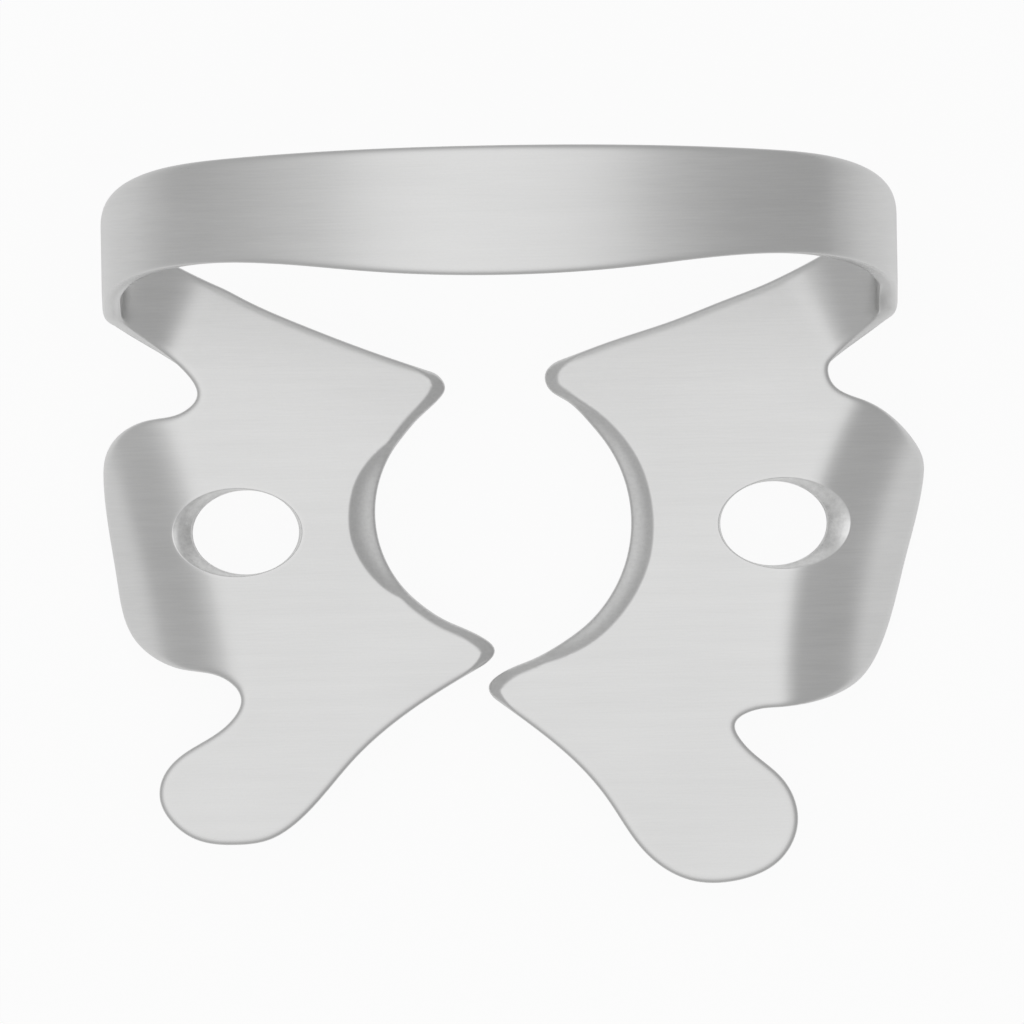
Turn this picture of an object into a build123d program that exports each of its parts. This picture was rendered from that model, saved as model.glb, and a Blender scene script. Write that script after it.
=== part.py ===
import os
from math import cos, pi, radians, sin, sqrt

from build123d import *

# A rubber dam clamp: one strip of spring steel, stamped flat and then bent.
# The origin is the middle of the tooth's place between the two jaws, on the
# jaws' top face. +Z points up to the bow, +Y back to the bow, +X to the right.

# The sheet
sheet_thickness = 0.7

# The bow, a strip that arches from jaw to jaw
bow_width = 27.0
bow_side_radius = 7.5
bow_top_radius = 20.0
bow_side_foot = 3.2
bow_back_reach = 12.66
bow_front_reach = 8.29

# The curl, where the strip rolls up out of each jaw on a cone
curl_rear_reach = 8.57
curl_front_reach = 5.75
curl_rear_radius = 3.11
curl_front_radius = 1.98
curl_rear_drift = 1.83
curl_front_drift = 1.45

# The jaws, from the tooth's middle to the front end of each front wing
right_toe_length = 12.4
left_toe_length = 10.86
right_grip_radius = 4.70
left_grip_radius = 3.92
right_grip_shift_x = 0.37
right_grip_shift_y = 0.06
left_grip_shift_x = 0.45
left_grip_shift_y = 0.31

# The side wings, bent down about a slanted line
wing_bend_radius = 2.4
wing_bend_angle = 55.0
wing_zone_margin = 0.2
wing_reach = 6.0

# The forceps holes, ovals that flare to a wider mouth on the top face
hole_length = 3.6
hole_width = 2.86
mouth_length = 4.95
mouth_width = 3.1
mouth_shift = 0.55
left_hole_reach = 8.77
right_hole_reach = 9.12
hole_setback = 0.24

# The ground bevel along each biting edge, and the deeper hollow in its middle
edge_bevel = 0.4
edge_bevel_depth = 0.3
hollow_depth = 0.45
left_hollow_width = 0.89
right_hollow_width = 0.75
left_hollow_radius = 3.03
right_hollow_radius = 4.83
left_hollow_angle = -4.0
right_hollow_angle = -7.0

# Where the round middle of each biting edge starts and ends, as seen from the
# jaw's own grip centre
left_grip_start_angle = -48.0
left_grip_end_angle = 39.0
right_grip_start_angle = -45.0
right_grip_end_angle = 36.0

# One overrun for every cutting body
overrun = 3.0

# The part of the curl's sideways drift that follows its turn evenly, and the
# places along its turn that its edges are drawn through
early_share = 0.8
curl_turn_shares = [0, 0.25, 0.5, 0.75, 1]

# How far the bow's edges lean back at the crown, as a share of their rise
bow_front_lean_share = -0.37
bow_back_lean_share = 0.1

# The ends of the bodies that cut the holes, as shares of the sheet's thickness
hole_cutter_shares = [-0.4, 1.5]

# Places along each jaw's edge, across first and then along. Tip places are
# shares of the jaw's grip radius, from its own grip centre. Edge places are
# shares of the bow's half width and of the jaw's length, ahead of the tooth or
# behind it.
half_width = bow_width / 2
front_tip_shares = {
    "right": [(0.515, -0.857), (0.258, -0.997), (0.032, -1.095), (-0.052, -1.194), (0, -1.28)],
    "left": [(0.413, -0.928), (0.109, -1.074), (-0.017, -1.206), (0.096, -1.335)],
}
rear_tip_shares = {
    "right": [(0.506, 1.169), (0.396, 1.07), (0.422, 0.961), (0.537, 0.879), (0.693, 0.732)],
    "left": [(0.487, 1.223), (0.375, 1.082), (0.438, 0.979), (0.623, 0.809)],
}
toe_edge_shares = {
    "right": [
        (0.042, -0.547), (0.164, -0.659), (0.25, -0.77), (0.341, -0.915), (0.451, -0.993),
        (0.576, -0.996), (0.681, -0.943), (0.728, -0.834), (0.694, -0.724), (0.588, -0.612),
        (0.573, -0.571), (0.637, -0.528), (0.687, -0.524),
    ],
    "left": [
        (0.122, -0.496), (0.275, -0.618), (0.388, -0.74), (0.526, -0.925), (0.605, -0.986),
        (0.691, -1.0), (0.787, -0.982), (0.854, -0.918), (0.878, -0.855), (0.872, -0.792),
        (0.836, -0.731), (0.693, -0.608), (0.67, -0.546), (0.709, -0.483),
    ],
}
wing_edge_shares = {
    "right": [
        (0.798, -0.506), (0.895, -0.453), (0.957, -0.345), (1.016, -0.127), (1.065, 0.132),
        (1.066, 0.211), (1.042, 0.291), (0.997, 0.372), (0.917, 0.453), (0.83, 0.534),
        (0.828, 0.6),
    ],
    "left": [
        (0.822, -0.449), (0.887, -0.416), (0.942, -0.353), (0.984, -0.164), (1.013, 0.189),
        (1.009, 0.268), (0.983, 0.347), (0.894, 0.423), (0.811, 0.449), (0.765, 0.519),
        (0.787, 0.579),
    ],
}
heel_edge_shares = {
    "right": [(0.689, 0.945), (0.554, 0.854), (0.432, 0.782), (0.28, 0.707)],
    "left": [(0.692, 0.936), (0.505, 0.796), (0.304, 0.668)],
}
bow_front_shares = [(0.929, 0.368), (1.0, 0.563), (1.052, 0.695), (1.071, 0.81), (1.05, 0.91), (1, 1)]
bow_back_shares = [(0.897, 0.46), (0.963, 0.719), (0.989, 0.903), (1, 1)]
wing_bend_shares = {
    "right": [(0.683, -0.524), (0.838, 0.54)],
    "left": [(0.715, -0.479), (0.811, 0.449)],
}

toe_lengths = {"right": right_toe_length, "left": left_toe_length}
grip_radii = {"right": right_grip_radius, "left": left_grip_radius}
grip_centres = {
    "right": Vector(-right_grip_shift_x, -right_grip_shift_y),
    "left": Vector(left_grip_shift_x, left_grip_shift_y),
}
hole_reaches = {"right": right_hole_reach, "left": left_hole_reach}
hollow_radii = {"right": right_hollow_radius, "left": left_hollow_radius}
hollow_widths = {"right": right_hollow_width, "left": left_hollow_width}
hollow_angles = {"right": right_hollow_angle, "left": left_hollow_angle}
grip_start_angles = {"right": right_grip_start_angle, "left": left_grip_start_angle}
grip_end_angles = {"right": right_grip_end_angle, "left": left_grip_end_angle}

# Each jaw is drawn as a right hand one. The left one is mirrored at the end.


def edge_place(side, x_share, y_share):
    length = curl_rear_reach if y_share > 0 else toe_lengths[side]
    return Vector(x_share * half_width, y_share * length)


def tip_place(side, x_share, y_share):
    return Vector(x_share, y_share) * grip_radii[side] + grip_centres[side]


def grip_direction(angle):
    return Vector(cos(radians(angle)), sin(radians(angle)))


def grip_place(side, angle):
    return grip_direction(angle) * grip_radii[side] + grip_centres[side]


# The curl's inner face is a cone: its generators meet ahead of the strip.
curl_taper = (curl_rear_radius - curl_front_radius) / (curl_rear_reach - curl_front_reach)


def curl_inner_radius(y):
    outer = curl_front_radius + curl_taper * (y - curl_front_reach)
    return outer - sheet_thickness


def curl_point(turn, y):
    radius = curl_inner_radius(y)
    x = half_width - sheet_thickness - radius * (1 - sin(turn))
    return Vector(x, y, radius * (1 - cos(turn)))


def curl_edge(start, drift):
    quarter_turn = pi / 2
    places = []
    for turn_share in curl_turn_shares:
        drift_share = early_share * turn_share + (1 - early_share) * turn_share**2
        places.append(curl_point(quarter_turn * turn_share, start + drift * drift_share))
    first_drift = drift * early_share / quarter_turn
    last_drift = drift * (2 - early_share) / quarter_turn
    first_radius = curl_inner_radius(start)
    last_radius = curl_inner_radius(start + drift)
    first_direction = Vector(first_radius - curl_taper * first_drift, first_drift, 0)
    last_direction = Vector(0, last_drift, last_radius + curl_taper * last_drift)
    return Spline(places, tangents=(first_direction, last_direction))


curl_front_edge = curl_edge(curl_front_reach, curl_front_drift)
curl_rear_edge = curl_edge(curl_rear_reach, curl_rear_drift)


def make_curl():
    inner_face = Face.make_surface_from_curves(curl_front_edge.edge(), curl_rear_edge.edge())
    return Solid.thicken(inner_face, sheet_thickness, normal_override=(1, 0, -1))


# The bow's section runs straight up from the curl, then over two arcs. Its
# front and back edges are cut to an outline that is drawn from the side.
side_centre_x = half_width - bow_side_radius
arc_distance = bow_top_radius - bow_side_radius
top_centre_z = bow_side_foot - sqrt(arc_distance**2 - side_centre_x**2)
bow_height = top_centre_z + bow_top_radius


def bow_line(inset):
    side_radius = bow_side_radius - inset
    top_radius = bow_top_radius - inset
    side_centre = Vector(side_centre_x, bow_side_foot)
    top_centre = Vector(0, top_centre_z)
    joint_direction = (side_centre - top_centre).normalized()
    mid_direction = (joint_direction + Vector(1, 0)).normalized()
    top_direction = (joint_direction + Vector(0, 1)).normalized()
    foot = Vector(half_width - inset, 0)
    shoulder = Vector(half_width - inset, bow_side_foot)
    joint = side_centre + joint_direction * side_radius
    crown = top_centre + Vector(0, top_radius)
    return [
        Line(foot, shoulder),
        ThreePointArc(shoulder, side_centre + mid_direction * side_radius, joint),
        ThreePointArc(joint, top_centre + top_direction * top_radius, crown),
    ]


def side_edge(curl_end, reach, shares):
    places = [Vector(curl_end.Y, curl_end.Z)]
    places += [Vector(y_share * reach, z_share * bow_height) for y_share, z_share in shares]
    return places


def make_bow():
    outer = bow_line(0)
    inner = bow_line(sheet_thickness)
    caps = [Line(outer[0] @ 0, inner[0] @ 0), Line(outer[2] @ 1, inner[2] @ 1)]
    section = Plane.XZ * make_face(outer + inner + caps)
    strip = extrude(section, amount=-bow_back_reach - overrun)
    front_places = side_edge(curl_front_edge @ 1, bow_front_reach, bow_front_shares)
    back_places = side_edge(curl_rear_edge @ 1, bow_back_reach, bow_back_shares)
    front_end = curl_front_edge % 1
    back_end = curl_rear_edge % 1
    front_lean = Vector(bow_front_lean_share, 1)
    back_lean = Vector(bow_back_lean_share, 1)
    front = Spline(front_places, tangents=(Vector(front_end.Y, front_end.Z), front_lean))
    back = Spline(back_places, tangents=(Vector(back_end.Y, back_end.Z), back_lean))
    outline = Plane.YZ * make_face([front, back, Line(front @ 0, back @ 0), Line(front @ 1, back @ 1)])
    return strip & extrude(outline, amount=half_width + overrun)


def grip_edges(side):
    start_angle = grip_start_angles[side]
    end_angle = grip_end_angles[side]
    mid_angle = (start_angle + end_angle) / 2
    arc = ThreePointArc(*[grip_place(side, angle) for angle in (end_angle, mid_angle, start_angle)])
    front_places = [arc @ 1] + [tip_place(side, *share) for share in front_tip_shares[side]]
    rear_places = [tip_place(side, *share) for share in rear_tip_shares[side]] + [arc @ 0]
    front_leave = edge_place(side, *toe_edge_shares[side][0]) - front_places[-1]
    rear_arrive = rear_places[0] - edge_place(side, *heel_edge_shares[side][-1])
    front_prong = Spline(front_places, tangents=(arc % 1, front_leave))
    rear_prong = Spline(rear_places, tangents=(rear_arrive, arc % 0))
    return rear_prong, arc, front_prong


def jaw_outline(side):
    rear_prong, arc, front_prong = grip_edges(side)
    bend_line = Line(curl_front_edge @ 0, curl_rear_edge @ 0)
    shares = toe_edge_shares[side] + wing_edge_shares[side]
    front_places = [front_prong @ 1] + [edge_place(side, *share) for share in shares] + [bend_line @ 0]
    rear_places = [bend_line @ 1] + [edge_place(side, *share) for share in heel_edge_shares[side]]
    rear_places.append(rear_prong @ 0)
    front_edge = Spline(front_places, tangents=(front_prong % 1, curl_front_edge % 0))
    rear_edge = Spline(rear_places, tangents=(-(curl_rear_edge % 0), rear_prong % 0))
    return make_face([rear_prong, arc, front_prong, front_edge, bend_line, rear_edge])


def make_wing(side, column):
    bend_front, bend_rear = [edge_place(side, *share) for share in wing_bend_shares[side]]
    along = (bend_rear - bend_front).normalized()
    outward = along.cross(Vector(0, 0, 1))
    zone_start = bend_front - along * wing_zone_margin
    zone_length = (bend_rear - bend_front).length + 2 * wing_zone_margin
    bend_plane = Plane(origin=zone_start, x_dir=outward, z_dir=-along)
    zone_plane = Plane(origin=zone_start, x_dir=outward, z_dir=(0, 0, 1))
    zone = zone_plane * Box(wing_reach, zone_length, wing_reach, align=(Align.MIN, Align.MIN, Align.CENTER))
    arc_centre = Vector(0, -wing_bend_radius)
    arc_places = []
    for angle in (0, wing_bend_angle / 2, wing_bend_angle):
        direction = Vector(sin(radians(angle)), cos(radians(angle)))
        arc_places.append(arc_centre + direction * wing_bend_radius)
    bend_arc = ThreePointArc(*arc_places)
    margin = Line(bend_arc @ 1, bend_arc @ 1 + (bend_arc % 1) * wing_reach)
    wing = []
    for line in (bend_arc, margin):
        bent_face = Face.extrude((bend_plane * line).edge(), along * zone_length)
        for face in (bent_face & column).faces():
            wing.append(Solid.thicken(face, sheet_thickness, normal_override=(0, 0, -1)))
    return wing, zone


def make_hole_cutter(side):
    centre = Vector(hole_reaches[side], -hole_setback)
    ovals = []
    for rise_share in hole_cutter_shares:
        length = hole_length + (mouth_length - hole_length) * rise_share
        width = hole_width + (mouth_width - hole_width) * rise_share
        place = centre + Vector(mouth_shift * rise_share, 0, sheet_thickness * (rise_share - 1))
        ovals.append(Plane(origin=place) * Ellipse(length / 2, width / 2))
    return loft(ovals, ruled=True)


# Each of these cones stands half below the jaw's top face and half above it.
# The bevel's cone passes the biting edge halfway down its lower half.
def make_bevel_cutter(side):
    centre = grip_centres[side]
    low_radius = grip_radii[side] - edge_bevel
    high_radius = grip_radii[side] + 3 * edge_bevel
    return Pos(centre.X, centre.Y, 0) * Cone(low_radius, high_radius, 4 * edge_bevel_depth)


def make_hollow_cutter(side):
    low_radius = hollow_radii[side] - hollow_widths[side]
    high_radius = hollow_radii[side] + hollow_widths[side]
    centre = grip_place(side, hollow_angles[side]) - grip_direction(hollow_angles[side]) * low_radius
    return Pos(centre.X, centre.Y, 0) * Cone(low_radius, high_radius, 2 * hollow_depth)


def make_jaw(side):
    outline = jaw_outline(side)
    column = extrude(outline, amount=wing_reach, both=True)
    wing, zone = make_wing(side, column)
    jaw = extrude(outline, amount=-sheet_thickness) - zone + wing
    return jaw - make_hole_cutter(side) - make_hollow_cutter(side) - make_bevel_cutter(side)


def make_clamp():
    half_strip = make_bow() + make_curl()
    right_half = half_strip + make_jaw("right")
    left_half = half_strip + make_jaw("left")
    return right_half + mirror(left_half, about=Plane.YZ)


clamp = make_clamp()
clamp.label = "clamp"
os.makedirs("parts", exist_ok=True)
export_step(clamp, "parts/clamp.step")
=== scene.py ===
# %% [markdown] A rubber dam clamp in brushed spring steel. The real clamp is
# stamped out of a flat sheet and then bent, so it is made in the same order
# here. First a flat blank is drawn for each half, with its rounded and ground
# edges and its forceps hole. Then a Geometry Nodes tree bends the side wing
# down and rolls the strip up into the bow. Everything is placed in its frame:
# +Z points up to the bow, +Y back to the bow and +X to the wider jaw.

from math import acos, cos, pi, radians, sin, tan

import bmesh
import bpy
import numpy as np
from mathutils import Matrix, Vector
from mathutils.geometry import delaunay_2d_cdt
from mathutils.kdtree import KDTree


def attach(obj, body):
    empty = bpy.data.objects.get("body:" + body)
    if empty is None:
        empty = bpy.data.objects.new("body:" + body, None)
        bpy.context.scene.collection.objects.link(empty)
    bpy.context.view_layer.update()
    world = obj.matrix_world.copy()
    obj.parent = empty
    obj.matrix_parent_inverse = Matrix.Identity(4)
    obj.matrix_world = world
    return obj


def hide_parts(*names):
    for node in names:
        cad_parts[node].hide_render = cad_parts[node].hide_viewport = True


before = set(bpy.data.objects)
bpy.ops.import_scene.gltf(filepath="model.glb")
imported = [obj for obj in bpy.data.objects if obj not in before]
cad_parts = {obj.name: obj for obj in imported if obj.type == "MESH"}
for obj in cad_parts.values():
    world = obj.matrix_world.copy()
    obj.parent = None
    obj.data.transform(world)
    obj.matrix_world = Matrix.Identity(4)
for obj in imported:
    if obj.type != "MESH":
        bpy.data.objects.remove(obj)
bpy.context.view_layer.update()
MM = 0.001

# %% [markdown]
# A clamp is known by a few sizes, so they come first and each is written once.
# They are the sizes of the CAD part, in millimetres, because the new piece has
# to be the same object. The drawing below works in millimetres too, and a
# point is turned into metres only when it goes into a mesh.
#
# Seen from the front, the bow is a side arc, a flatter top arc and the same
# side arc again. The curl joins it to the flat jaw. Both arcs touch without a
# kink, which fixes their angles and the height of the bow.

# %% Sizes of the sheet, the bow and the curl
sheet_thickness = 0.7
half_width = 13.5
side_radius = 7.5
top_radius = 20.0
side_foot = 3.2
bow_back_reach = 12.66
bow_front_reach = 8.29
curl_rear_reach = 8.57
curl_front_reach = 5.75
curl_rear_radius = 3.11
curl_front_radius = 1.98
rear_roll_start = 8.1
rear_roll_drift = 2.3
front_roll_start = {"right": 5.22, "left": 5.52}
front_roll_drift = {"right": 1.7, "left": 1.62}
rear_early_share = 0.68
front_early_share = 0.9
# How far the bow's edges run in Y at the crown, for each millimetre of height
bow_front_lean = -0.37
bow_back_lean = 0.1
# The curl turns in a wide arc up to the knee angle, then in a tight one
curl_knee = radians(50)
curl_wide = 1.8
curl_tight = 0.5

curl_taper = (curl_rear_radius - curl_front_radius) / (curl_rear_reach - curl_front_reach)
arc_distance = top_radius - side_radius
side_turn = acos((half_width - side_radius) / arc_distance)
top_turn = pi / 2 - side_turn
top_centre_height = side_foot - arc_distance * sin(side_turn)
bow_height = top_centre_height + top_radius
side_length = (side_radius - sheet_thickness) * side_turn
strip_length = side_length + (top_radius - sheet_thickness) * top_turn
print("bow height:", round(bow_height, 2), "mm, strip above its foot:", round(strip_length, 2), "mm")

# %% [markdown]
# The two jaws look like mirror images, but the photo shows that they aren't:
# the right one is longer and its grip is wider. So every size that differs is
# given for both. Each jaw is drawn as a right hand one, because one set of
# formulas is enough then, and the left one is mirrored as it is bent.

# %% Sizes of the jaws
sides = ("right", "left")
toe_length = {"right": 12.4, "left": 10.86}
grip_radius = {"right": 4.70, "left": 3.92}
grip_centre = {"right": (-0.37, -0.06), "left": (0.45, 0.31)}
grip_angles = {"right": (-45, 36), "left": (-48, 39)}
hollow_radius = {"right": 4.83, "left": 3.03}
hollow_width = {"right": 0.75, "left": 0.89}
hollow_angle = {"right": -7, "left": -4}
hollow_depth = 0.21
hollow_lip = 0.16
hollow_lip_share = 0.22
hollow_wobble = 0.01
hole_reach = {"right": 9.16, "left": 8.77}
hole_setback = 0.24
hole_length = 3.6
hole_width = 2.86
mouth_length = {"right": 4.46, "left": 4.38}
mouth_width = {"right": 3.06, "left": 2.97}
mouth_shift = {"right": 0.38, "left": 0.3}
# The fold goes on past both ends of its line and then fades out
fold_front_margin = 1.0
fold_rear_margin = 0.8
fold_fade = 0.6
# A fold starts tight, turns gently from the tight angle on, and ends flat
tight_angle = radians(25)
tight_radius = {"right": 2.3, "left": 3.3}
gentle_radius = {"right": 6.2, "left": 5.2}
fold_angle = {"right": radians(51), "left": radians(55)}
fold_shares = {
    "right": [(0.683, -0.524), (0.838, 0.54)],
    "left": [(0.715, -0.479), (0.811, 0.449)],
}
# How far each fold starts ahead of its line, at its front, middle and rear
fold_lead = {"right": (0.16, 0.62, -0.55), "left": (1.05, 0.85, 0.25)}

print("jaws reach", toe_length, "mm to the front")

# %% [markdown]
# The edges of the jaws follow no formula, so they are given as places, and
# smooth curves join the places later. Each place is a share of the size that it
# follows. The prongs follow the radius of the grip. The toe, the wing and the
# heel follow the bow's half width and the length of the jaw. So the outline
# keeps its form when a size is changed.

# %% Places along the edges of the jaws
front_tip_shares = {
    "right": [(0.515, -0.857), (0.258, -0.997), (0.032, -1.095), (-0.052, -1.194), (0, -1.28)],
    "left": [(0.413, -0.928), (0.109, -1.074), (-0.017, -1.206), (0.096, -1.335)],
}
rear_tip_shares = {
    "right": [(0.506, 1.169), (0.396, 1.07), (0.422, 0.961), (0.537, 0.879), (0.693, 0.732)],
    "left": [(0.487, 1.223), (0.375, 1.082), (0.438, 0.979), (0.623, 0.809)],
}
toe_edge_shares = {
    "right": [
        (0.042, -0.547), (0.164, -0.659), (0.25, -0.77), (0.341, -0.915), (0.451, -0.993),
        (0.576, -0.996), (0.681, -0.943), (0.728, -0.834), (0.694, -0.724), (0.588, -0.612),
        (0.573, -0.571), (0.637, -0.528), (0.687, -0.524),
    ],
    "left": [
        (0.122, -0.496), (0.275, -0.618), (0.388, -0.74), (0.526, -0.925), (0.605, -0.986),
        (0.691, -1.0), (0.787, -0.982), (0.854, -0.918), (0.878, -0.855), (0.872, -0.792),
        (0.836, -0.731), (0.693, -0.608), (0.67, -0.546), (0.709, -0.483),
    ],
}
wing_edge_shares = {
    "right": [
        (0.798, -0.506), (0.895, -0.453), (0.957, -0.345), (1.016, -0.127), (1.065, 0.132),
        (1.066, 0.211), (1.042, 0.291), (0.997, 0.372), (0.917, 0.453), (0.83, 0.534),
    ],
    "left": [
        (0.822, -0.449), (0.887, -0.416), (0.942, -0.353), (0.984, -0.164), (1.013, 0.189),
        (1.009, 0.268), (0.983, 0.347), (0.894, 0.423), (0.811, 0.449), (0.767, 0.519),
        (0.79, 0.6),
    ],
}
heel_edge_shares = {
    "right": [(0.554, 0.854), (0.432, 0.782), (0.28, 0.707)],
    "left": [(0.646, 0.898), (0.507, 0.796), (0.304, 0.668)],
}
# The bow's edges as shares of its reach and its height
bow_front_shares = [
    (0.911, 0.245), (0.955, 0.368), (1.02, 0.56), (1.056, 0.695), (1.071, 0.81), (1.05, 0.91), (1, 1),
]
bow_back_shares = [(0.897, 0.46), (0.963, 0.719), (0.989, 0.903), (1, 1)]
edge_tables = (front_tip_shares, rear_tip_shares, toe_edge_shares, wing_edge_shares, heel_edge_shares)
print("places along the jaws' edges:", sum(len(table[side]) for table in edge_tables for side in sides))


# %% [markdown]
# The clamp's edges are smooth curves. A spline through a few places draws them
# well: it passes through each place, and its bend changes without a jump, so a
# reflection runs along the edge without a kink. The curve is then cut into
# equal steps, because even steps make even faces.

# %% Draw a smooth curve through places
edge_step = 0.09
fine_step = 0.02
samples_per_gap = 60


def unit(direction):
    direction = np.array(direction, float)
    return direction / np.linalg.norm(direction)


def even_steps(points, step):
    lengths = np.linalg.norm(np.diff(points, axis=0), axis=1)
    along = np.concatenate([[0], np.cumsum(lengths)])
    count = max(2, int(round(along[-1] / step)) + 1)
    wanted = np.linspace(0, along[-1], count)
    return np.stack([np.interp(wanted, along, points[:, axis]) for axis in (0, 1)], axis=1)


def smooth_curve(places, first_direction, last_direction, step=edge_step):
    places = np.array(places, float)
    gaps = np.linalg.norm(np.diff(places, axis=0), axis=1)
    count = len(places)
    rows = np.zeros((count, count))
    wanted = np.zeros((count, 2))
    rows[0, 0] = 1
    rows[-1, -1] = 1
    wanted[0] = unit(first_direction)
    wanted[-1] = unit(last_direction)
    for i in range(1, count - 1):
        before = gaps[i - 1]
        after = gaps[i]
        rows[i, i - 1 : i + 2] = (after, 2 * (before + after), before)
        arriving = (places[i] - places[i - 1]) / before
        leaving = (places[i + 1] - places[i]) / after
        wanted[i] = 3 * (after * arriving + before * leaving)
    slopes = np.linalg.solve(rows, wanted)
    curve = [places[:1]]
    share = np.linspace(0, 1, samples_per_gap + 1)[1:, None]
    for i in range(count - 1):
        bend = share**2 * (3 - 2 * share)
        start_pull = share * (1 - share) ** 2 * gaps[i]
        end_pull = share**2 * (share - 1) * gaps[i]
        run = places[i] * (1 - bend) + places[i + 1] * bend
        curve.append(run + slopes[i] * start_pull + slopes[i + 1] * end_pull)
    return even_steps(np.concatenate(curve), step)


quarter_turn = smooth_curve([(1, 0), (0, 1)], (0, 1), (-1, 0))
print("a quarter turn from two places:", len(quarter_turn), "points")

# %% [markdown]
# The strip leaves the jaw on a cone: its front edge rolls up in a tighter turn
# than its rear edge. Each turn starts wide and ends tight, as the tones in the
# photo show. On the flat blank a point of the strip is given by its reach,
# which is how far along the strip it lies past the bow's foot.

# %% Lay the strip out flat
# The curl's reach, height and length, each as a share of its radius
roll_reach = curl_wide * sin(curl_knee) + curl_tight * (1 - sin(curl_knee))
roll_rise = curl_wide * (1 - cos(curl_knee)) + curl_tight * cos(curl_knee)
roll_length = curl_wide * curl_knee + curl_tight * (pi / 2 - curl_knee)
roll_samples = 41
bow_samples = 400


def roll_radius(y):
    return curl_front_radius + curl_taper * (y - curl_front_reach) - sheet_thickness


def roll_line(y):
    return half_width - sheet_thickness - roll_reach * roll_radius(y)


def strip_height(reach):
    turned = np.clip(reach / (side_radius - sheet_thickness), 0, side_turn)
    left = np.clip(top_turn - (reach - side_length) / (top_radius - sheet_thickness), 0, top_turn)
    on_side = side_foot + np.minimum(reach, 0) + side_radius * np.sin(turned)
    on_top = top_centre_height + top_radius * np.cos(left)
    return np.where(reach < side_length, on_side, on_top)


def strip_place(reach, y):
    rolled = roll_line(y) + roll_radius(y) * (roll_length - roll_rise) + side_foot
    return np.stack([rolled + reach, y], axis=-1)


def roll_edge(start, drift, early_share, share):
    return start + drift * (early_share * share + (1 - early_share) * share**2)


def roll_place(share, y):
    return np.stack([roll_line(y) + roll_radius(y) * share * roll_length, y], axis=-1)


def strip_edge(start, drift, early_share, reach, shares, lean):
    turn_shares = np.linspace(0, 1, roll_samples)
    rolled = roll_place(turn_shares, roll_edge(start, drift, early_share, turn_shares))
    end = start + drift
    radius = roll_radius(end)
    foot = radius * roll_rise
    rate = drift * (2 - early_share) / roll_length
    places = [(end, foot)] + [(y * reach, z * bow_height) for y, z in shares]
    leave = (rate, radius + roll_rise * curl_taper * rate)
    seen_edge = smooth_curve(places, leave, (lean, 1), fine_step)
    reaches = np.linspace(foot - side_foot, strip_length, bow_samples)
    y = np.interp(strip_height(reaches), seen_edge[:, 1], seen_edge[:, 0])
    return even_steps(np.concatenate([rolled, strip_place(reaches, y)[1:]]), 2 * edge_step)


def front_strip_edge(side):
    start = front_roll_start[side]
    drift = front_roll_drift[side]
    return strip_edge(start, drift, front_early_share, bow_front_reach, bow_front_shares, bow_front_lean)


strip_front = {side: front_strip_edge(side) for side in sides}
strip_back = strip_edge(
    rear_roll_start, rear_roll_drift, rear_early_share, bow_back_reach, bow_back_shares, bow_back_lean
)
print("strip edges:", len(strip_front["right"]), "and", len(strip_back), "points")

# %% [markdown]
# The side wing is folded down along a slanted line, which is not quite
# straight. The press nips the sheet at the start of the fold and lets it turn
# more gently from there on, so the rule has a tight arc, then a wide one, then
# a flat margin. The blank is found by running that rule backwards, from the
# place that a point has on the finished clamp.

# %% The rule of the fold, and the same rule backwards
def edge_place(side, shares):
    length = curl_rear_reach if shares[1] > 0 else toe_length[side]
    return np.array([shares[0] * half_width, shares[1] * length])


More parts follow.
